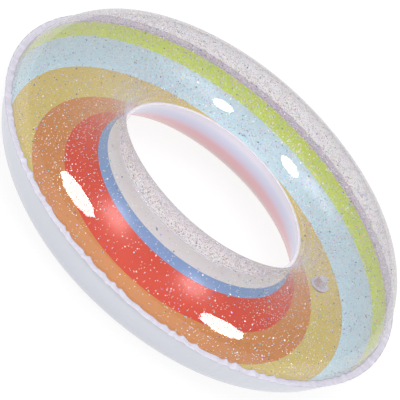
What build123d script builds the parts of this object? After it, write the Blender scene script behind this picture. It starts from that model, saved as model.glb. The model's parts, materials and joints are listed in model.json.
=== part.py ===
from build123d import *
import math
import os

# ---------------------------------------------------------------------------
# Inflatable swim ring: two flat rings of soft PVC film, a clear one in front
# and a printed one behind, welded together round their outer and inner edges
# and blown up into a tube. Millimetres. The ring lies on its printed back:
# +Z is the ring's axis and points out of the clear front, and the origin is
# on that axis at the height of the lowest point of the back film.
# ---------------------------------------------------------------------------

# Driving dimensions of the inflated ring
OUTER_SEAM_RADIUS = 355.0
INNER_SEAM_RADIUS = 172.0
INNER_SEAM_RISE = 17.0         # the taut inner seam stands higher than the outer one
FRONT_HEIGHT = 78.5            # of the clear half, square to the line between the seams
BACK_HEIGHT = 89.0             # of the printed half, which bulges more
FRONT_CREST_SHIFT = -5.0       # of the clear half's crest, outwards from midway
BACK_CREST_SHIFT = 13.0
FILM_THICKNESS = 0.5
OUTER_RIM_WIDTH = 12.5         # welded and pinched edge outside the outer seam
INNER_RIM_WIDTH = 6.0

# Driving dimensions of the push-in air valve, which is stored pushed in and shut
VALVE_AZIMUTH = 36.0           # degrees round the ring from +X
VALVE_TILT = 8.0               # degrees from straight down, leaning outwards
MOUTH_RADIUS = 9.5             # opening of the collar that is welded into the back film
COLLAR_WALL = 1.5
FLANGE_RADIUS = 16.0
FLANGE_THICKNESS = 1.0
STEM_RADIUS = 5.2
STEM_BORE = 3.0
STEM_LENGTH = 14.0
STEM_MOUTH_DEPTH = 3.0         # how far the pushed-in stem's mouth sits below the film
STEM_FOOT_RADIUS = 6.6
STEM_FOOT_THICKNESS = 1.0
PLUG_PIN_LENGTH = 9.0
PLUG_HEAD_RADIUS = 6.0
PLUG_HEAD_THICKNESS = 1.2
TAB_REACH = 8.6                # the plug's finger tab, from the valve's axis
TAB_WIDTH = 5.0
TAB_THICKNESS = 0.8
STRAP_THICKNESS = 0.7
STRAP_WIDTH = 3.0
STRAP_REACH = 7.8
WEB_THICKNESS = 0.8
FLAP_RADIUS = 4.2
FLAP_THICKNESS = 0.6
FLAP_HINGE = 5.0               # distance of the flap's hinge line from the valve's axis
FLAP_TONGUE_WIDTH = 2.4
PIN_GAP = 0.05                 # radial gap of the plug's pin in the stem
SMALL_GAP = 0.05               # between faces that rest on each other
CLEARANCE = 0.15               # between faces that only have to stay apart

# Driving dimensions of the loose glitter
FLAKE_COUNT = 72
FLAKE_RADIUS = 1.1
FLAKE_THICKNESS = 0.15
FLAKE_INSET = 1.2              # a flake's middle below the film's outer face
FLAKE_TURN = 137.5             # degrees round the ring from one flake to the next
FLAKE_STEP = 47.0              # degrees round the tube from one flake to the next
FLAKE_FREE_OF_VALVE = 30.0

# The tube's section is drawn across from hole to rim and along from back to front. Each
# film is half an ellipse between the seams, leaning a little where its crest is shifted.
SECTION_STEPS = 12
SEAM_RUN = OUTER_SEAM_RADIUS - INNER_SEAM_RADIUS
SECTION_TILT = math.atan2(INNER_SEAM_RISE, SEAM_RUN)
HALF_WIDTH = math.hypot(SEAM_RUN, INNER_SEAM_RISE) / 2
CENTRE_RADIUS = (OUTER_SEAM_RADIUS + INNER_SEAM_RADIUS) / 2
CENTRE_HEIGHT = math.hypot(
    HALF_WIDTH * math.sin(SECTION_TILT),
    BACK_HEIGHT * math.cos(SECTION_TILT) + BACK_CREST_SHIFT * math.sin(SECTION_TILT),
)
SECTION = Plane(
    origin=(CENTRE_RADIUS, 0, CENTRE_HEIGHT),
    x_dir=(math.cos(SECTION_TILT), 0, -math.sin(SECTION_TILT)),
    z_dir=(0, -1, 0),
)

# Depths in the valve, measured along its axis from the film's outer face
SAG_UNDER_FLANGE = FLANGE_RADIUS ** 2 / (2 * BACK_HEIGHT)
FLANGE_TOP = -(FILM_THICKNESS + SAG_UNDER_FLANGE + 2 * CLEARANCE)
FLANGE_BOTTOM = FLANGE_TOP - FLANGE_THICKNESS
COLLAR_RADIUS = MOUTH_RADIUS + COLLAR_WALL
COLLAR_TOP = -(COLLAR_RADIUS ** 2 / (2 * BACK_HEIGHT) + CLEARANCE)
STEM_TOP = -STEM_MOUTH_DEPTH
STEM_BOTTOM = STEM_TOP - STEM_LENGTH
PLUG_SEAT = STEM_TOP + SMALL_GAP


# ---------------------------------------------------------------------------
# The inflated tube
# ---------------------------------------------------------------------------

def turn_round_ring(profile):
    """Revolve a profile drawn in the tube's section plane about the ring's axis."""
    return revolve(SECTION * profile, axis=Axis.Z)


def crest(angle):
    """Height and outward shift of the film that an angle round the section falls on."""
    if math.sin(angle) >= 0:
        return FRONT_HEIGHT, FRONT_CREST_SHIFT
    return BACK_HEIGHT, BACK_CREST_SHIFT


def section_point(angle, inset):
    """Where the wall is, across and along, at an angle round the section from the rim."""
    height, shift = crest(angle)
    across = (HALF_WIDTH - inset) * math.cos(angle) + shift * abs(math.sin(angle))
    return across, (height - inset) * math.sin(angle)


def film(side):
    """Half of the tube's wall, above (+1) or below (-1) the line between the seams."""
    angles = [side * math.pi * k / SECTION_STEPS for k in range(SECTION_STEPS + 1)]
    outside = Spline(*[section_point(angle, 0) for angle in angles])
    inside = Spline(*[section_point(angle, FILM_THICKNESS) for angle in angles])
    ends = [Line(outside @ k, inside @ k) for k in (0, 1)]
    wall = make_face([outside, inside, *ends])
    middle = side * (FILM_THICKNESS + BACK_HEIGHT)
    return turn_round_ring(wall & Pos(0, middle) * Rectangle(3 * HALF_WIDTH, 2 * BACK_HEIGHT))


def rim(side, width):
    """The two films melted into one flat strip, outside (+1) or inside (-1) the tube."""
    length = width + FILM_THICKNESS
    middle = side * (HALF_WIDTH + width - length / 2)
    return turn_round_ring(Pos(middle, 0) * Rectangle(length, 2 * FILM_THICKNESS))


def wall_plane(angle, inset):
    """A plane at one angle round the section, below the film and facing outwards."""
    height, shift = crest(angle)
    across, along = section_point(angle, inset)
    lean = (shift if math.sin(angle) >= 0 else -shift) * math.cos(angle)
    outwards = SECTION.x_dir * height * math.cos(angle)
    outwards += SECTION.y_dir * (HALF_WIDTH * math.sin(angle) - lean)
    place = SECTION.origin + SECTION.x_dir * across + SECTION.y_dir * along
    return Plane(origin=place, x_dir=(0, 1, 0), z_dir=outwards)


# ---------------------------------------------------------------------------
# The air valve, drawn about its own axis with +Z pointing out of its mouth
# ---------------------------------------------------------------------------

def valve_plane():
    """The plane on the back film's outer face where the valve's axis crosses it."""
    lean = math.radians(VALVE_TILT)
    outwards = Vector(math.sin(lean), 0, -math.cos(lean))
    across = outwards.dot(SECTION.x_dir) / BACK_HEIGHT
    along = outwards.dot(SECTION.y_dir) / HALF_WIDTH
    along -= across * BACK_CREST_SHIFT / HALF_WIDTH
    return wall_plane(math.atan2(along, across), 0)


VALVE = Rot(0, 0, VALVE_AZIMUTH) * valve_plane().location


def tube(outer, inner, bottom, top):
    """A plain tube about the valve's axis between two depths."""
    height = top - bottom
    ring = Cylinder(outer, height) - Cylinder(inner, height)
    return Pos(0, 0, bottom + height / 2) * ring


def disc(radius, bottom, top):
    """A plain disc about the valve's axis between two depths."""
    return Pos(0, 0, (bottom + top) / 2) * Cylinder(radius, top - bottom)


def valve_collar():
    """The collar in the back film's hole, with the flange that is welded under the film."""
    collar = tube(COLLAR_RADIUS, MOUTH_RADIUS, FLANGE_BOTTOM, COLLAR_TOP)
    return collar + tube(FLANGE_RADIUS, MOUTH_RADIUS, FLANGE_BOTTOM, FLANGE_TOP)


def valve_web():
    """The thin cone between collar and stem, which turns inside out as the stem moves."""
    foot = STEM_FOOT_RADIUS + CLEARANCE
    cone = Polygon(
        (MOUTH_RADIUS, FLANGE_BOTTOM),
        (MOUTH_RADIUS + WEB_THICKNESS, FLANGE_BOTTOM),
        (foot + WEB_THICKNESS, STEM_BOTTOM),
        (foot, STEM_BOTTOM),
        align=None,
    )
    return revolve(Plane.XZ * cone, axis=Axis.Z)


def valve_stem():
    """The tube that is blown into, with a foot for the web."""
    stem = tube(STEM_RADIUS, STEM_BORE, STEM_BOTTOM, STEM_TOP)
    foot_top = STEM_BOTTOM + STEM_FOOT_THICKNESS
    return stem + tube(STEM_FOOT_RADIUS, STEM_BORE, STEM_BOTTOM, foot_top)


def valve_plug():
    """The plug: a pin in the stem's bore, a round head and a finger tab."""
    plug = disc(STEM_BORE - PIN_GAP, STEM_TOP - PLUG_PIN_LENGTH, PLUG_SEAT)
    plug += disc(PLUG_HEAD_RADIUS, PLUG_SEAT, PLUG_SEAT + PLUG_HEAD_THICKNESS)
    tab = Box(TAB_REACH, TAB_WIDTH, TAB_THICKNESS)
    return plug + Pos(TAB_REACH / 2, 0, PLUG_SEAT + TAB_THICKNESS / 2) * tab


def plug_strap():
    """The band from the plug's head to the side of the stem that keeps the plug."""
    head_level = PLUG_SEAT + PLUG_HEAD_THICKNESS / 2
    path = FilletPolyline(
        (-PLUG_HEAD_RADIUS - SMALL_GAP, head_level),
        (-STRAP_REACH, head_level),
        (-STRAP_REACH, STEM_TOP - STEM_LENGTH / 3),
        (-STEM_RADIUS - SMALL_GAP, STEM_TOP - STEM_LENGTH / 3),
        radius=STRAP_THICKNESS,
    )
    band = trace(path, line_width=STRAP_THICKNESS)
    return extrude(Plane.XZ * band, amount=STRAP_WIDTH / 2, both=True)


def check_flap():
    """The flap over the stem's inner end, which air from outside pushes open."""
    top = STEM_BOTTOM - SMALL_GAP
    flap = disc(FLAP_RADIUS, top - FLAP_THICKNESS, top)
    tongue = Box(FLAP_HINGE, FLAP_TONGUE_WIDTH, FLAP_THICKNESS)
    return flap + Pos(FLAP_HINGE / 2, 0, top - FLAP_THICKNESS / 2) * tongue


# ---------------------------------------------------------------------------
# The glitter, loose flakes that cling to the inside of the films
# ---------------------------------------------------------------------------

def glitter():
    """A spread of six-sided flakes, none of them near the valve or a seam."""
    flake = extrude(RegularPolygon(FLAKE_RADIUS, 6), amount=FLAKE_THICKNESS / 2, both=True)
    flakes = []
    step = 0
    while len(flakes) < FLAKE_COUNT:
        angle = math.radians(FLAKE_STEP * step + FLAKE_STEP / 2)
        place = Rot(0, 0, FLAKE_TURN * step) * wall_plane(angle, FLAKE_INSET).location
        to_valve = (place.position - VALVE.position).length
        to_seam = abs(math.sin(angle)) * FRONT_HEIGHT
        if to_valve > FLAKE_FREE_OF_VALVE and to_seam > 4 * FLAKE_RADIUS:
            flakes.append(place * Rot(0, 0, FLAKE_STEP * step) * flake)
        step += 1
    return Compound(flakes)


# ---------------------------------------------------------------------------
# Nodes
# ---------------------------------------------------------------------------

valve_hole = VALVE * disc(COLLAR_RADIUS + CLEARANCE, -BACK_HEIGHT / 4, BACK_HEIGHT / 4)

NODES = {
    "front_film": film(1),
    "back_film": film(-1) - valve_hole,
    "outer_rim": rim(1, OUTER_RIM_WIDTH),
    "inner_rim": rim(-1, INNER_RIM_WIDTH),
    "valve_collar": VALVE * valve_collar(),
    "valve_web": VALVE * valve_web(),
    "valve_stem": VALVE * valve_stem(),
    "valve_plug": VALVE * valve_plug(),
    "plug_strap": VALVE * plug_strap(),
    "check_flap": VALVE * check_flap(),
    "glitter": glitter(),
}

os.makedirs("parts", exist_ok=True)
for name, shape in NODES.items():
    export_step(shape, f"parts/{name}.step")
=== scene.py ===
import json
import math

import bpy
import numpy as np
from mathutils import Matrix, Vector


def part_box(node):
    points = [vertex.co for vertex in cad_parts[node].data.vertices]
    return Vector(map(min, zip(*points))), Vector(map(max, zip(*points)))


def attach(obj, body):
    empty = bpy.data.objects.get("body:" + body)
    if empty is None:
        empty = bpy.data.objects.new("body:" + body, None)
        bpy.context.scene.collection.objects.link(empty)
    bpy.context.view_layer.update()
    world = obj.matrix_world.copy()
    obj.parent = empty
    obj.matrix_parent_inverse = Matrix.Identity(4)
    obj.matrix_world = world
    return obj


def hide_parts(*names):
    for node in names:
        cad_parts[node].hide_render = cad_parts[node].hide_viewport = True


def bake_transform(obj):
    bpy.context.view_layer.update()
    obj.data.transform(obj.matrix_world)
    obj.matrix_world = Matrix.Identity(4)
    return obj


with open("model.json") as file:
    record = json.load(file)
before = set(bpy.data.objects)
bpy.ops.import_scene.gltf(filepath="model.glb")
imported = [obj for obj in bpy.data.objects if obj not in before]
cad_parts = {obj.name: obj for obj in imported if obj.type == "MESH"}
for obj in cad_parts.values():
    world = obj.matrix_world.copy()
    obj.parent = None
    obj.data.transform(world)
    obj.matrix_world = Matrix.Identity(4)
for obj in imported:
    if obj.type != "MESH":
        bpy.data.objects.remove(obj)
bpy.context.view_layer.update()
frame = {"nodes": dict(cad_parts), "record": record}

# ---------------------------------------------------------------------------
# Driving sizes in metres. The seams, the crests' shifts, the rims' widths and
# the valve's hole are the CAD part's.
# ---------------------------------------------------------------------------
OUTER_SEAM = 0.355
INNER_SEAM = 0.172
INNER_RISE = 0.017
FRONT_CREST_SHIFT = -0.005
BACK_CREST_SHIFT = 0.013
FILM = 0.0004
OUTER_RIM = 0.0125
INNER_RIM = 0.006
RIM_THICKNESS = 0.0007
VALVE_HOLE = 0.01115           # radius

# Which film a point is on: the sign of its angle round the tube's section
FRONT = 1
BACK = -1

# The tube's section: two half ellipses on a line between the seams, which tilts
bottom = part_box("back_film")[0].z
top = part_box("front_film")[1].z
half_width = math.hypot(OUTER_SEAM - INNER_SEAM, INNER_RISE) / 2
tilt = math.atan2(INNER_RISE, OUTER_SEAM - INNER_SEAM)
centre_r = (OUTER_SEAM + INNER_SEAM) / 2
rim_low, rim_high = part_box("outer_rim")
centre_z = (rim_low.z + rim_high.z) / 2 + (half_width + OUTER_RIM / 2) * math.sin(tilt)


def crest_height(reach, shift):
    """Height of a film's crest over the line between the seams, from its highest reach in z."""
    upright = math.sqrt(reach ** 2 - (half_width * math.sin(tilt)) ** 2)
    return (upright + shift * math.sin(tilt)) / math.cos(tilt)


front_height = crest_height(top - centre_z, FRONT_CREST_SHIFT)
back_height = crest_height(centre_z - bottom, -BACK_CREST_SHIFT)

stem_joint = next(j for j in frame["record"]["behaviour"]["joints"] if j["name"] == "stem_pull")
valve_mount = next(m for m in frame["record"]["mounts"] if m["name"] == "inflation_mouth")
valve_axis = Vector(stem_joint["axis"]).normalized()
valve_mouth = Vector(valve_mount["pos_m"])

rng = np.random.default_rng(7)


# ---------------------------------------------------------------------------
# Puckers: the outer seam is longer than the inflated ring's edge, so it gathers
# ---------------------------------------------------------------------------
GATHERS = 98
GATHER_JITTER = 0.42           # of the even spacing
GATHER_HEIGHTS = (0.15, 1.0)
GATHER_LEANS = (0.62, 1.6)     # 1 has its slack midway between two pinched tops
GATHER_PINCH = 0.8             # lower makes the pinched tops narrower
GATHER_DROP = 0.28             # taken off, which keeps the seam near its own height
GATHER_DEPTH = 0.0058
GATHER_INWARD = 0.35           # how far a pinched top is drawn in, as a share of its height
GATHER_FADE = 0.020            # distance from the seam over which the puckers die out
CALM_SHARE = 0.55              # the puckers are this much slighter on the ring's -X side
CALM_SPREAD = 0.7              # radians
SLOW_WAVES = ((0.0011, 3, 0.6), (0.0008, 7, 2.0))   # height, waves round the ring, start in radians

gather_at = (np.arange(GATHERS) + rng.uniform(-GATHER_JITTER, GATHER_JITTER, GATHERS)) * math.tau / GATHERS
gather_height = rng.uniform(*GATHER_HEIGHTS, GATHERS)
gather_lean = rng.uniform(*GATHER_LEANS, GATHERS)


def gathers(phi):
    """How far the seam is pushed up at angles phi: most at the pinched tops, least in the slack."""
    ends = np.append(gather_at, gather_at[0] + math.tau)
    heights = np.append(gather_height, gather_height[0])
    around = (phi - gather_at[0]) % math.tau + gather_at[0]
    k = np.clip(np.searchsorted(ends, around, side="right") - 1, 0, GATHERS - 1)
    s = (around - ends[k]) / (ends[k + 1] - ends[k])
    pinched = heights[k] * (1 - s) + heights[k + 1] * s
    pucker = pinched * (1 - np.sin(math.pi * s ** gather_lean[k]) ** GATHER_PINCH) - GATHER_DROP
    return pucker * (1 - CALM_SHARE * np.exp(-((phi - math.pi) / CALM_SPREAD) ** 2))


def section(t, inset):
    """Radius, height and outward direction of the tube's wall at angle t round its section."""
    in_front = np.sin(t) >= 0
    height = np.where(in_front, front_height, back_height)
    shift = np.where(in_front, FRONT_CREST_SHIFT, BACK_CREST_SHIFT)
    across = (half_width - inset) * np.cos(t) + shift * np.abs(np.sin(t))
    along = (height - inset) * np.sin(t)
    out_across = height * np.cos(t)
    out_along = half_width * np.sin(t) - shift * np.where(in_front, 1, -1) * np.cos(t)
    size = np.hypot(out_across, out_along)
    c, s = math.cos(tilt), math.sin(tilt)
    r = centre_r + across * c + along * s
    z = centre_z - across * s + along * c
    return r, z, (out_across * c + out_along * s) / size, (out_along * c - out_across * s) / size


def slow_wave(phi):
    """How far the film stands in or out, in long soft waves round the ring."""
    return sum(height * np.sin(waves * phi + start) for height, waves, start in SLOW_WAVES)


def wall(phi, t, inset):
    """Points of the tube's wall, puckered near the outer seam, as a phi by t grid."""
    r, z, nr, _ = section(t, inset)
    fade = np.exp(-np.abs(t) * half_width / GATHER_FADE)
    pucker = gathers(phi) * GATHER_DEPTH
    swell = slow_wave(phi)[:, None] * (nr * np.sin(t) ** 2)[None]
    rr = r[None] - GATHER_INWARD * pucker[:, None] * fade[None] + swell
    zz = z[None] + pucker[:, None] * fade[None]
    return np.stack([rr * np.cos(phi)[:, None], rr * np.sin(phi)[:, None], zz], -1)


# ---------------------------------------------------------------------------
# Mesh helpers
# ---------------------------------------------------------------------------
STEPS_ROUND = 720              # mesh steps round the ring


def new_mesh(name, points, faces, smooth=True):
    mesh = bpy.data.meshes.new(name)
    mesh.from_pydata(points.tolist(), [], faces)
    mesh.update()
    mesh.polygons.foreach_set("use_smooth", [smooth] * len(mesh.polygons))
    piece = bpy.data.objects.new(name, mesh)
    bpy.context.scene.collection.objects.link(piece)
    return piece


def torus_faces(n, m, flip):
    """Faces of an n by m grid that is closed both ways."""
    i = np.arange(n)[:, None]
    j = np.arange(m)[None]
    i2, j2 = (i + 1) % n, (j + 1) % m
    quads = np.stack([i * m + j, i2 * m + j, i2 * m + j2, i * m + j2], -1).reshape(-1, 4)
    if flip:
        quads = quads[:, ::-1]
    return quads.tolist()


def film_shell(name, t_values, outer_material, inner_material):
    """A closed thin shell of film: outer face, inner face and the two edges."""
    phi = np.linspace(0, math.tau, STEPS_ROUND, endpoint=False)
    outer = wall(phi, t_values, 0.0)
    inner = wall(phi, t_values, FILM)[:, ::-1]
    points = np.concatenate([outer, inner], 1)
    m = points.shape[1]
    faces = torus_faces(STEPS_ROUND, m, flip=t_values[1] < t_values[0])
    piece = new_mesh(name, points.reshape(-1, 3), faces)
    piece.data.materials.append(outer_material)
    piece.data.materials.append(inner_material)
    column = np.tile(np.arange(m), STEPS_ROUND)
    inside = (column >= len(t_values)).astype(np.int32)
    piece.data.polygons.foreach_set("material_index", inside)
    return piece


# ---------------------------------------------------------------------------
# Material helpers
# ---------------------------------------------------------------------------
PVC_IOR = 1.5
INK_UNEVENNESS = 0.12
FOIL_METALLIC = 0.7


def linear(r, g, b):
    return tuple((v / 255) ** 2.2 for v in (r, g, b))


def grey(value):
    return (value, value, value)


def material(name):
    m = bpy.data.materials.new(name)
    m.use_nodes = True
    m.node_tree.nodes.clear()
    return m, m.node_tree.nodes, m.node_tree.links


def add(nodes, kind, **inputs):
    n = nodes.new(kind)
    for key, value in inputs.items():
        n.inputs[key.replace("_", " ")].default_value = value
    return n


def to_output(nodes, links, shader):
    links.new(shader, nodes.new("ShaderNodeOutputMaterial").inputs["Surface"])


def math_node(nodes, links, operation, a, b=None):
    n = nodes.new("ShaderNodeMath")
    n.operation = operation
    for k, v in enumerate((a, b)):
        if v is None:
            continue
        if isinstance(v, (int, float)):
            n.inputs[k].default_value = v
        else:
            links.new(v, n.inputs[k])
    return n.outputs[0]


def mixed(nodes, links, share, first, second):
    """One shader, with a share of another over it."""
    n = nodes.new("ShaderNodeMixShader")
    for value, socket in zip((share, first, second), n.inputs):
        links.new(value, socket)
    return n.outputs[0]


def ramp(nodes, links, value, stops, interpolation="LINEAR"):
    n = nodes.new("ShaderNodeValToRGB")
    n.color_ramp.interpolation = interpolation
    while len(n.color_ramp.elements) < len(stops):
        n.color_ramp.elements.new(0.5)
    for e, (at, colour) in zip(n.color_ramp.elements, stops):
        e.position = at
        e.color = (*colour, 1.0)
    links.new(value, n.inputs[0])
    return n.outputs[0]


def object_point(nodes):
    return nodes.new("ShaderNodeTexCoord").outputs["Object"]


def noise(nodes, links, scale, detail):
    n = add(nodes, "ShaderNodeTexNoise", Scale=scale, Detail=detail)
    links.new(object_point(nodes), n.inputs["Vector"])
    return n.outputs["Fac"]


def fine_bump(nodes, links, scale, strength, distance):
    bump = add(nodes, "ShaderNodeBump", Strength=strength, Distance=distance)
    links.new(noise(nodes, links, scale, detail=3.0), bump.inputs["Height"])
    return bump.outputs[0]


def steep_share(nodes, links, slant, power, most, least):
    """A share that stays near its least when seen head on, and rises to least + most edge on."""
    share = math_node(nodes, links, "POWER", slant, power)
    share = math_node(nodes, links, "MULTIPLY", share, most)
    return math_node(nodes, links, "ADD", share, least)


def radius_and_height(nodes, links):
    """Distance from the ring's axis, and height."""
    split = nodes.new("ShaderNodeSeparateXYZ")
    links.new(object_point(nodes), split.inputs[0])
    x, y, z = split.outputs
    xx = math_node(nodes, links, "MULTIPLY", x, x)
    yy = math_node(nodes, links, "MULTIPLY", y, y)
    return math_node(nodes, links, "SQRT", math_node(nodes, links, "ADD", xx, yy)), z


def band_position(nodes, links):
    """How far round the back film's section a point lies: 0 at the outer seam, 1 at the inner."""
    r, z = radius_and_height(nodes, links)
    dr = math_node(nodes, links, "SUBTRACT", r, centre_r)
    dz = math_node(nodes, links, "SUBTRACT", z, centre_z)
    c, s = math.cos(tilt), math.sin(tilt)
    across = math_node(
        nodes, links, "SUBTRACT",
        math_node(nodes, links, "MULTIPLY", dr, c),
        math_node(nodes, links, "MULTIPLY", dz, s),
    )
    below = math_node(
        nodes, links, "ADD",
        math_node(nodes, links, "MULTIPLY", dr, -s / back_height),
        math_node(nodes, links, "MULTIPLY", dz, -c / back_height),
    )
    shift = math_node(nodes, links, "MULTIPLY", below, BACK_CREST_SHIFT)
    across = math_node(nodes, links, "SUBTRACT", across, shift)
    across = math_node(nodes, links, "DIVIDE", across, half_width)
    angle = math_node(nodes, links, "ARCTAN2", below, across)
    return math_node(nodes, links, "DIVIDE", angle, math.pi)


# ---------------------------------------------------------------------------
# Colours
# ---------------------------------------------------------------------------
# Printed bands, each from its place round the section to the next one's
BANDS = [
    (0.000, linear(214, 208, 222)),   # unprinted edge
    (0.005, linear(212, 246, 104)),   # lime
    (0.112, linear(198, 237, 252)),   # pale blue
    (0.302, linear(213, 194, 104)),   # yellow
    (0.505, linear(208, 132, 60)),    # orange
    (0.678, linear(217, 60, 14)),     # red
    (0.853, linear(128, 160, 214)),   # blue
    (0.912, linear(230, 228, 236)),   # unprinted white
]
# Milky white backing, with the bands showing through faintly
BACKING = [
    (0.000, linear(206, 202, 214)),
    (0.030, linear(197, 199, 206)),
    (0.110, linear(194, 196, 205)),
    (0.260, linear(190, 192, 203)),
    (0.400, linear(206, 202, 194)),
    (0.600, linear(210, 196, 186)),
    (0.690, linear(206, 184, 184)),
    (0.740, linear(200, 156, 158)),
    (0.840, linear(210, 164, 170)),
    (0.880, linear(198, 188, 206)),
    (0.930, linear(198, 202, 222)),
    (0.960, linear(216, 212, 222)),
]
WELD = [(0.3, linear(195, 192, 206)), (0.7, linear(212, 209, 220))]
INNER_WELD = [(0.3, linear(222, 218, 226)), (0.7, linear(236, 232, 238))]
MOULDED = [(0.3, linear(196, 194, 210)), (0.7, linear(210, 208, 222))]
HAZE = linear(216, 211, 221)
# Holographic flakes: each takes one of these colours, as often as its step is wide
FOIL = [
    (0.00, linear(255, 255, 255)),
    (0.30, linear(255, 250, 220)),
    (0.42, linear(130, 220, 230)),
    (0.54, linear(190, 150, 240)),
    (0.66, linear(240, 160, 215)),
    (0.75, linear(190, 236, 140)),
    (0.83, linear(110, 130, 190)),
    (0.91, linear(100, 100, 114)),
]
DUST = [
    (0.00, linear(228, 228, 234)),
    (0.26, linear(208, 208, 216)),
    (0.44, linear(180, 222, 228)),
    (0.55, linear(208, 194, 238)),
    (0.66, linear(240, 210, 226)),
    (0.76, linear(206, 232, 190)),
    (0.84, linear(150, 150, 166)),
    (0.90, linear(255, 255, 255)),
]


# ---------------------------------------------------------------------------
# Materials
# ---------------------------------------------------------------------------
def plastic_shader(nodes, links, colour, bump, **inputs):
    bsdf = add(nodes, "ShaderNodeBsdfPrincipled", IOR=PVC_IOR, **inputs)
    links.new(colour, bsdf.inputs["Base Color"])
    links.new(bump, bsdf.inputs["Normal"])
    to_output(nodes, links, bsdf.outputs[0])


def printed_inside():
    """The printed bands, in ink that is slightly uneven."""
    m, nodes, links = material("printed_inside")
    colour = ramp(nodes, links, band_position(nodes, links), BANDS, "CONSTANT")
    patches = noise(nodes, links, scale=60.0, detail=4.0)
    uneven = ramp(nodes, links, patches, [(0.3, grey(0.8)), (0.7, grey(1.0))])
    mix = nodes.new("ShaderNodeMix")
    mix.data_type = "RGBA"
    mix.blend_type = "MULTIPLY"
    mix.inputs["Factor"].default_value = INK_UNEVENNESS
    links.new(colour, mix.inputs["A"])
    links.new(uneven, mix.inputs["B"])
    bump = fine_bump(nodes, links, scale=240.0, strength=0.04, distance=0.0004)
    plastic_shader(nodes, links, mix.outputs["Result"], bump, Roughness=0.31)
    return m


def milky_outside():
    m, nodes, links = material("milky_outside")
    colour = ramp(nodes, links, band_position(nodes, links), BACKING)
    bump = fine_bump(nodes, links, scale=300.0, strength=0.12, distance=0.0004)
    plastic_shader(nodes, links, colour, bump, Roughness=0.22)
    return m


def clear_outside():
    """The clear film's outer face: see-through, and glossier at a slant."""
    m, nodes, links = material("clear_film")
    slant = add(nodes, "ShaderNodeLayerWeight", Blend=0.5).outputs["Facing"]
    clear = add(nodes, "ShaderNodeBsdfTransparent", Color=(0.97, 0.965, 0.975, 1))
    gloss = nodes.new("ShaderNodeBsdfGlossy")
    smears = noise(nodes, links, scale=40.0, detail=3.0)
    polish = ramp(nodes, links, smears, [(0.35, grey(0.02)), (0.75, grey(0.06))])
    links.new(polish, gloss.inputs["Roughness"])
    mirror = steep_share(nodes, links, slant, power=5.0, most=0.75, least=0.075)
    to_output(nodes, links, mixed(nodes, links, mirror, clear.outputs[0], gloss.outputs[0]))
    return m


def clear_inside():
    """The clear film's inner face: see-through, with a cloudy haze that is thicker at a slant."""
    m, nodes, links = material("dusted_film")
    slant = add(nodes, "ShaderNodeLayerWeight", Blend=0.5).outputs["Facing"]
    clear = add(nodes, "ShaderNodeBsdfTransparent", Color=(0.945, 0.933, 0.945, 1))
    share = steep_share(nodes, links, slant, power=2.5, most=0.42, least=0.03)
    clouds = noise(nodes, links, scale=26.0, detail=4.0)
    cloudy = ramp(nodes, links, clouds, [(0.3, grey(0.7)), (0.7, grey(1.0))])
    share = math_node(nodes, links, "MULTIPLY", share, cloudy)
    haze = add(nodes, "ShaderNodeBsdfDiffuse", Color=(*HAZE, 1))
    to_output(nodes, links, mixed(nodes, links, share, clear.outputs[0], haze.outputs[0]))
    return m


def welded_edge(name, colours, alpha):
    """Two films melted together: milky, slightly see-through, glossy."""
    m, nodes, links = material(name)
    colour = ramp(nodes, links, noise(nodes, links, scale=180.0, detail=3.0), colours)
    bump = fine_bump(nodes, links, scale=200.0, strength=0.3, distance=0.0006)
    plastic_shader(nodes, links, colour, bump, Roughness=0.3, Alpha=alpha)
    return m


def valve_plastic():
    m, nodes, links = material("valve_plastic")
    colour = ramp(nodes, links, noise(nodes, links, scale=400.0, detail=2.0), MOULDED)
    bump = fine_bump(nodes, links, scale=600.0, strength=0.15, distance=0.0003)
    plastic_shader(nodes, links, colour, bump, Roughness=0.3)
    return m


def foil(name, colours, roughness):
    """Metal flakes, each in one of the colours."""
    m, nodes, links = material(name)
    geometry = nodes.new("ShaderNodeNewGeometry")
    colour = ramp(nodes, links, geometry.outputs["Random Per Island"], colours, "CONSTANT")
    bsdf = add(nodes, "ShaderNodeBsdfPrincipled", Roughness=roughness, Metallic=FOIL_METALLIC)
    links.new(colour, bsdf.inputs["Base Color"])
    to_output(nodes, links, bsdf.outputs[0])
    return m


def glow_shader(nodes, strength):
    return add(nodes, "ShaderNodeEmission", Strength=strength).outputs[0]


# ---------------------------------------------------------------------------
# The two films
# ---------------------------------------------------------------------------
SECTION_POINTS = 55
SEAM_CROWDING = 0.12           # 0 spaces the points evenly, more draws them to the seams
SEAM_GAP = 0.004               # radians between a film's edge and the seam
CUTTER_SIDES = 96
CUTTER_LENGTH = 0.03


def section_angles(film):
    """Angles round the section from the outer seam to the inner one, closer near the seams."""
    u = np.linspace(0, 1, SECTION_POINTS)
    eased = u - SEAM_CROWDING * np.sin(2 * math.pi * u)
    return film * (SEAM_GAP + eased * (math.pi - 2 * SEAM_GAP))


def cut_valve_hole(piece):
    """Cut the round hole that the valve's collar sits in."""
    bpy.ops.mesh.primitive_cylinder_add(
        vertices=CUTTER_SIDES, radius=VALVE_HOLE, depth=CUTTER_LENGTH, location=valve_mouth
    )
    cutter = bpy.context.object
    cutter.rotation_mode = "QUATERNION"
    cutter.rotation_quaternion = valve_axis.to_track_quat("Z", "Y")
    cut = piece.modifiers.new("valve_hole", "BOOLEAN")
    cut.operation = "DIFFERENCE"
    cut.solver = "MANIFOLD"
    cut.object = cutter
    graph = bpy.context.evaluated_depsgraph_get()
    whole = piece.data
    piece.data = bpy.data.meshes.new_from_object(piece.evaluated_get(graph))
    piece.modifiers.clear()
    bpy.data.objects.remove(cutter)
    bpy.data.meshes.remove(whole)


front = film_shell("front_film_clear", section_angles(FRONT), clear_outside(), clear_inside())
back = film_shell("back_film_printed", section_angles(BACK), milky_outside(), printed_inside())
cut_valve_hole(back)

for piece, node, slot in ((front, "front_film", "clear_film"), (back, "back_film", "printed_film")):
    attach(piece, "ring")
    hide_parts(node)


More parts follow.
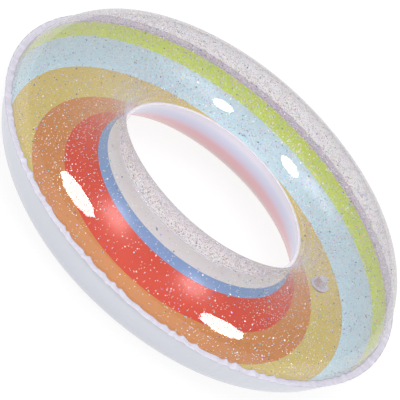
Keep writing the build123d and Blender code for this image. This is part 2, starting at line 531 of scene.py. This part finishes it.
# ---------------------------------------------------------------------------
# The welded rims
# ---------------------------------------------------------------------------
RIM_DROPS = 0.6                # how much of the seam's pucker is gone at the rim's edge
RIM_SPREADS = 0.3              # how far a pinched top's rim reaches out, as a share of the pucker
RIM_LIFT = 6                   # degrees that the outer rim rises, averaged round the ring
RIM_LIFT_SWING = 13            # degrees more on the ring's +Y side, and less on its -Y side
RIM_SQUARENESS = 6             # higher makes the rim's edge squarer


def rim(name, outer_side, width, columns):
    """A flat strip welded to a seam, with a rounded edge. The outer one is puckered like its seam."""
    phi = np.linspace(0, math.tau, STEPS_ROUND, endpoint=False)
    seam_t = np.array([0.0 if outer_side else math.pi])
    seam = wall(phi, seam_t, FILM / 2)[:, 0]
    seam_r = np.hypot(seam[:, 0], seam[:, 1])
    u = np.linspace(0, 1, columns)
    side = 1 if outer_side else -1
    r = seam_r[:, None] + side * width * u[None]
    z = np.repeat(seam[:, 2:], columns, axis=1)
    if outer_side:
        pucker = (gathers(phi) * GATHER_DEPTH)[:, None]
        lift = np.radians(RIM_LIFT + RIM_LIFT_SWING * np.sin(phi))[:, None]
        z = z - RIM_DROPS * pucker * np.sqrt(u)[None] + width * u[None] * np.sin(lift)
        r = r + RIM_SPREADS * pucker * np.sqrt(u)[None] - width * u[None] * (1 - np.cos(lift))
    half = RIM_THICKNESS / 2 * np.sqrt(np.clip(1 - u ** RIM_SQUARENESS, 0, 1))[None]
    x, y = r * np.cos(phi)[:, None], r * np.sin(phi)[:, None]
    upper = np.stack([x, y, z + half], -1)
    lower = np.stack([x, y, z - half], -1)
    points = np.concatenate([upper, lower[:, ::-1]], 1)
    faces = torus_faces(STEPS_ROUND, points.shape[1], flip=not outer_side)
    return new_mesh(name, points.reshape(-1, 3), faces)


outer_rim = rim("outer_rim_puckered", outer_side=True, width=OUTER_RIM, columns=9)
inner_rim = rim("inner_rim_flat", outer_side=False, width=INNER_RIM, columns=6)
outer_rim.data.materials.append(welded_edge("outer_weld", WELD, alpha=0.76))
inner_rim.data.materials.append(welded_edge("inner_weld", INNER_WELD, alpha=0.45))
for piece, node in ((outer_rim, "outer_rim"), (inner_rim, "inner_rim")):
    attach(piece, "ring")
    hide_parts(node)


# ---------------------------------------------------------------------------
# Glitter
# ---------------------------------------------------------------------------
FLAKE_HALF = 0.00005           # half a flake's thickness
FLAKE_INSET = 0.0004           # least distance from the film's inner face to a flake's middle
FLAKE_ANGLES = (0.03, math.pi - 0.05)   # round the section, so that none lies in a seam
CLEAR_OF_VALVE = 0.0185        # no flake is nearer to the valve's axis than this
INSIDE_VALVE = 0.05            # unless it is this far inside the valve's mouth
TRIES = 8                      # places drawn for each flake that is wanted


def large_crowd(phi, t):
    """How thick the large flakes lie: most at the two ends, least on the side nearest the camera."""
    swirl = 0.5 + 0.5 * np.sin(2.3 * t + 5 * phi + 1.7 * np.sin(3 * phi))
    return 0.54 + 0.26 * np.sin(phi + 0.35) + 0.24 * np.cos(2 * phi) + 0.2 * swirl


def fine_crowd(phi, t):
    """How thick the fine flakes lie: most along the far edge and on the near inner wall."""
    far = 0.5 + 0.5 * np.sin(phi)
    edge = np.exp(-(t / 0.55) ** 2)
    patches = 0.5 + 0.5 * np.sin(3.1 * t + 4 * phi + 1.3 * np.sin(5 * phi))
    inner_wall = np.exp(-((math.pi - t) / 0.75) ** 2)
    crowd = 0.02 + 0.36 * far + 0.2 * np.cos(phi) ** 2 + 0.5 * far * edge + 0.1 * patches
    return crowd + (0.7 - 0.55 * far) * inner_wall


def scattered(count, film, crowd):
    """Angles round ring and section for flakes, as thick as the crowd says."""
    phi = rng.uniform(0, math.tau, TRIES * count)
    t = rng.uniform(*FLAKE_ANGLES, TRIES * count)
    kept = rng.uniform(0, 1, TRIES * count) < crowd(phi, t)
    return phi[kept][:count], film * t[kept][:count]


def clear_of_valve(points):
    """Which points are out of the way of the valve's mouldings."""
    from_mouth = points - np.array(valve_mouth)
    along = from_mouth @ np.array(valve_axis)
    aside = np.linalg.norm(from_mouth - along[:, None] * np.array(valve_axis), axis=1)
    return (aside > CLEAR_OF_VALVE) | (along < -INSIDE_VALVE)


def prism_faces(count, corners):
    """Faces of flat prisms whose points are each one's upper corners, then its lower ones."""
    first = np.arange(count)[:, None] * 2 * corners
    k = np.arange(corners)[None]
    after = (k + 1) % corners
    sides = np.stack([first + k, first + corners + k, first + corners + after, first + after], -1)
    faces = (first + k).tolist() + (first + corners + k[:, ::-1]).tolist()
    return faces + sides.reshape(-1, 4).tolist()


def flakes(name, film, count, corners, sizes, tilt_most, crowd, foil_material):
    """Flat flakes clinging to the inside of one film, mostly small, each tipped its own way."""
    phi, t = scattered(count, film, crowd)
    count = len(phi)
    size = sizes[0] + (sizes[1] - sizes[0]) * rng.uniform(0, 1, count) ** 3
    r, z, nr, nz = section(t, FILM + FLAKE_INSET)
    r = r + slow_wave(phi) * nr * np.sin(t) ** 2
    lean = rng.uniform(0, tilt_most, count)
    spin = rng.uniform(0, math.tau, count)
    lift = size * np.sin(lean)
    r, z = r - nr * lift, z - nz * lift
    centre = np.stack([r * np.cos(phi), r * np.sin(phi), z], -1)

    normal = np.stack([nr * np.cos(phi), nr * np.sin(phi), nz], -1)
    round_ring = np.stack([-np.sin(phi), np.cos(phi), np.zeros_like(phi)], -1)
    up = np.cross(normal, round_ring)
    axis = round_ring * np.cos(spin)[:, None] + up * np.sin(spin)[:, None]
    other = np.cross(normal, axis)
    normal = normal * np.cos(lean)[:, None] + other * np.sin(lean)[:, None]
    other = np.cross(normal, axis)
    turn = (np.arange(corners) * math.tau / corners)[None, :, None]
    edge = (axis[:, None] * np.cos(turn) + other[:, None] * np.sin(turn)) * size[:, None, None]

    free = clear_of_valve(centre)
    centre, edge, normal = centre[free], edge[free], normal[free]
    above = centre[:, None] + edge + normal[:, None] * FLAKE_HALF
    below = centre[:, None] + edge - normal[:, None] * FLAKE_HALF
    points = np.concatenate([above, below], 1).reshape(-1, 3)
    piece = new_mesh(name, points, prism_faces(len(centre), corners), smooth=False)
    piece.data.materials.append(foil_material)
    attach(piece, "ring")
    return piece


large_foil = foil("large_foil", FOIL, roughness=0.5)
fine_foil = foil("fine_foil", DUST, roughness=0.45)
front_flakes = flakes(
    "glitter_front", FRONT, count=6500, corners=6, sizes=(0.00065, 0.0015), tilt_most=0.55,
    crowd=large_crowd, foil_material=large_foil,
)
flakes(
    "glitter_back", BACK, count=4500, corners=6, sizes=(0.0005, 0.0014), tilt_most=0.65,
    crowd=large_crowd, foil_material=large_foil,
)
for name in ("glitter_fine_a", "glitter_fine_b"):
    flakes(
        name, FRONT, count=15000, corners=4, sizes=(0.00072, 0.0011), tilt_most=0.4,
        crowd=fine_crowd, foil_material=fine_foil,
    )
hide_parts("glitter")


# ---------------------------------------------------------------------------
# The valve: mouldings carried over from the CAD, and copies of its web and its strap
# ---------------------------------------------------------------------------
plastic = valve_plastic()
for node in ("valve_collar", "valve_stem", "valve_plug", "check_flap"):
    moulding = frame["nodes"][node]
    moulding.data.materials.clear()
    moulding.data.materials.append(plastic)


def flexing(name, node):
    """The CAD node's own shape as a separate piece, left in place, with the node hidden."""
    original = frame["nodes"][node]
    piece = bpy.data.objects.new(name, original.data.copy())
    bpy.context.scene.collection.objects.link(piece)
    piece.matrix_world = original.matrix_world
    piece.data.materials.clear()
    piece.data.materials.append(plastic)
    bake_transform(piece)
    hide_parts(node)


flexing("valve_web_flexing", "valve_web")
flexing("plug_strap_flexing", "plug_strap")


# ---------------------------------------------------------------------------
# Floor and light
# ---------------------------------------------------------------------------
FLOOR_GAP = 0.0003
FLOOR_HALF = 6.0
FLOOR_SHADE = 0.16             # how light the floor is where light falls on it
FLOOR_GLOW = 0.84              # what it gives off, which keeps its shadows faint
SOFTBOX_SIDES = 8


def floor():
    """A pale floor, which is see-through from below so that the valve can be looked at."""
    mesh = bpy.data.meshes.new("floor")
    level = bottom - FLOOR_GAP
    corners = [(x * FLOOR_HALF, y * FLOOR_HALF, level) for x, y in ((-1, -1), (1, -1), (1, 1), (-1, 1))]
    mesh.from_pydata(corners, [], [(0, 1, 2, 3)])
    piece = bpy.data.objects.new("floor", mesh)
    bpy.context.scene.collection.objects.link(piece)
    m, nodes, links = material("floor")
    both = nodes.new("ShaderNodeAddShader")
    links.new(add(nodes, "ShaderNodeBsdfDiffuse", Color=(*grey(FLOOR_SHADE), 1)).outputs[0], both.inputs[0])
    links.new(glow_shader(nodes, FLOOR_GLOW), both.inputs[1])
    underside = nodes.new("ShaderNodeNewGeometry").outputs["Backfacing"]
    clear = nodes.new("ShaderNodeBsdfTransparent")
    to_output(nodes, links, mixed(nodes, links, underside, both.outputs[0], clear.outputs[0]))
    mesh.materials.append(m)


def softbox(name, azimuth, elevation, distance, width, power, shine):
    """An eight-sided softbox that faces the ring: one panel to be mirrored, one lamp to light."""
    a, e = math.radians(azimuth), math.radians(elevation)
    towards = Vector((math.cos(a) * math.cos(e), math.sin(a) * math.cos(e), math.sin(e)))
    place = Vector((0, 0, centre_z)) + towards * distance

    light = bpy.data.lights.new(name, "AREA")
    light.shape = "DISK"
    light.size = width
    light.energy = power
    lamp = bpy.data.objects.new(name, light)
    lamp.visible_glossy = False
    lamp.visible_camera = False

    step = math.tau / SOFTBOX_SIDES
    radius = width / 2 / math.cos(step / 2)
    turns = [(k + 0.5) * step for k in range(SOFTBOX_SIDES)]
    corners = [(radius * math.cos(turn), radius * math.sin(turn), 0) for turn in turns]
    mesh = bpy.data.meshes.new(name + "_panel")
    mesh.from_pydata(corners, [], [list(range(SOFTBOX_SIDES))])
    m, nodes, links = material(name + "_glow")
    to_output(nodes, links, glow_shader(nodes, shine))
    mesh.materials.append(m)
    panel = bpy.data.objects.new(name + "_panel", mesh)
    panel.visible_diffuse = False
    panel.visible_camera = False
    panel.visible_shadow = False
    for o in (lamp, panel):
        o.location = place
        o.rotation_mode = "QUATERNION"
        o.rotation_quaternion = towards.to_track_quat("Z", "Y")
        bpy.context.scene.collection.objects.link(o)


def overhead(height, width, power):
    """A wide soft lamp straight above, too soft to be mirrored."""
    light = bpy.data.lights.new("overhead", "AREA")
    light.size = width
    light.energy = power
    lamp = bpy.data.objects.new("overhead", light)
    lamp.location = (0, 0, height)
    lamp.visible_glossy = False
    bpy.context.scene.collection.objects.link(lamp)


floor()
softbox("left_softbox", azimuth=-134.5, elevation=25.0, distance=3.0, width=1.3, power=32, shine=15.0)
softbox("right_softbox", azimuth=-41.5, elevation=24.0, distance=3.0, width=1.15, power=32, shine=15.0)
overhead(height=3.0, width=4.0, power=95)

world = bpy.data.worlds.new("studio")
world.use_nodes = True
world.node_tree.nodes["Background"].inputs["Color"].default_value = (1, 1, 1, 1)
world.node_tree.nodes["Background"].inputs["Strength"].default_value = 0.5
bpy.context.scene.world = world

# ---------------------------------------------------------------------------
# Camera: it looks down on the ring and is turned about its own line of sight
# ---------------------------------------------------------------------------
CAMERA_TILT = 59.154           # degrees from straight down
CAMERA_ROLL = 42.940           # degrees
CAMERA_DISTANCE = 12.378       # in outer seam radii
CAMERA_SENSOR = 36.0           # millimetres, as is the lens
CAMERA_LENS = 256.49865
CAMERA_SHIFT = (-0.0122, -0.013425)

look = math.radians(CAMERA_TILT)
roll = math.radians(CAMERA_ROLL)
towards_camera = Vector((0, -math.sin(look), math.cos(look)))
sideways = Vector((1, 0, 0))
upwards = Vector((0, math.cos(look), math.sin(look)))
camera_x = sideways * math.cos(roll) + upwards * math.sin(roll)
camera_y = upwards * math.cos(roll) - sideways * math.sin(roll)
camera = bpy.data.objects.new("camera", bpy.data.cameras.new("camera"))
bpy.context.scene.collection.objects.link(camera)
seam_centre = Vector((0, 0, centre_z - half_width * math.sin(tilt)))
camera.rotation_mode = "QUATERNION"
camera.rotation_quaternion = Matrix((camera_x, camera_y, towards_camera)).transposed().to_quaternion()
camera.location = seam_centre + towards_camera * CAMERA_DISTANCE * OUTER_SEAM
camera.data.sensor_width = CAMERA_SENSOR
camera.data.lens = CAMERA_LENS
camera.data.shift_x, camera.data.shift_y = CAMERA_SHIFT
camera.data.clip_start = 0.1
camera.data.clip_end = 100.0
bpy.context.scene.camera = camera
bpy.context.scene.view_settings.view_transform = "Standard"
bpy.context.scene.cycles.transparent_max_bounces = 24
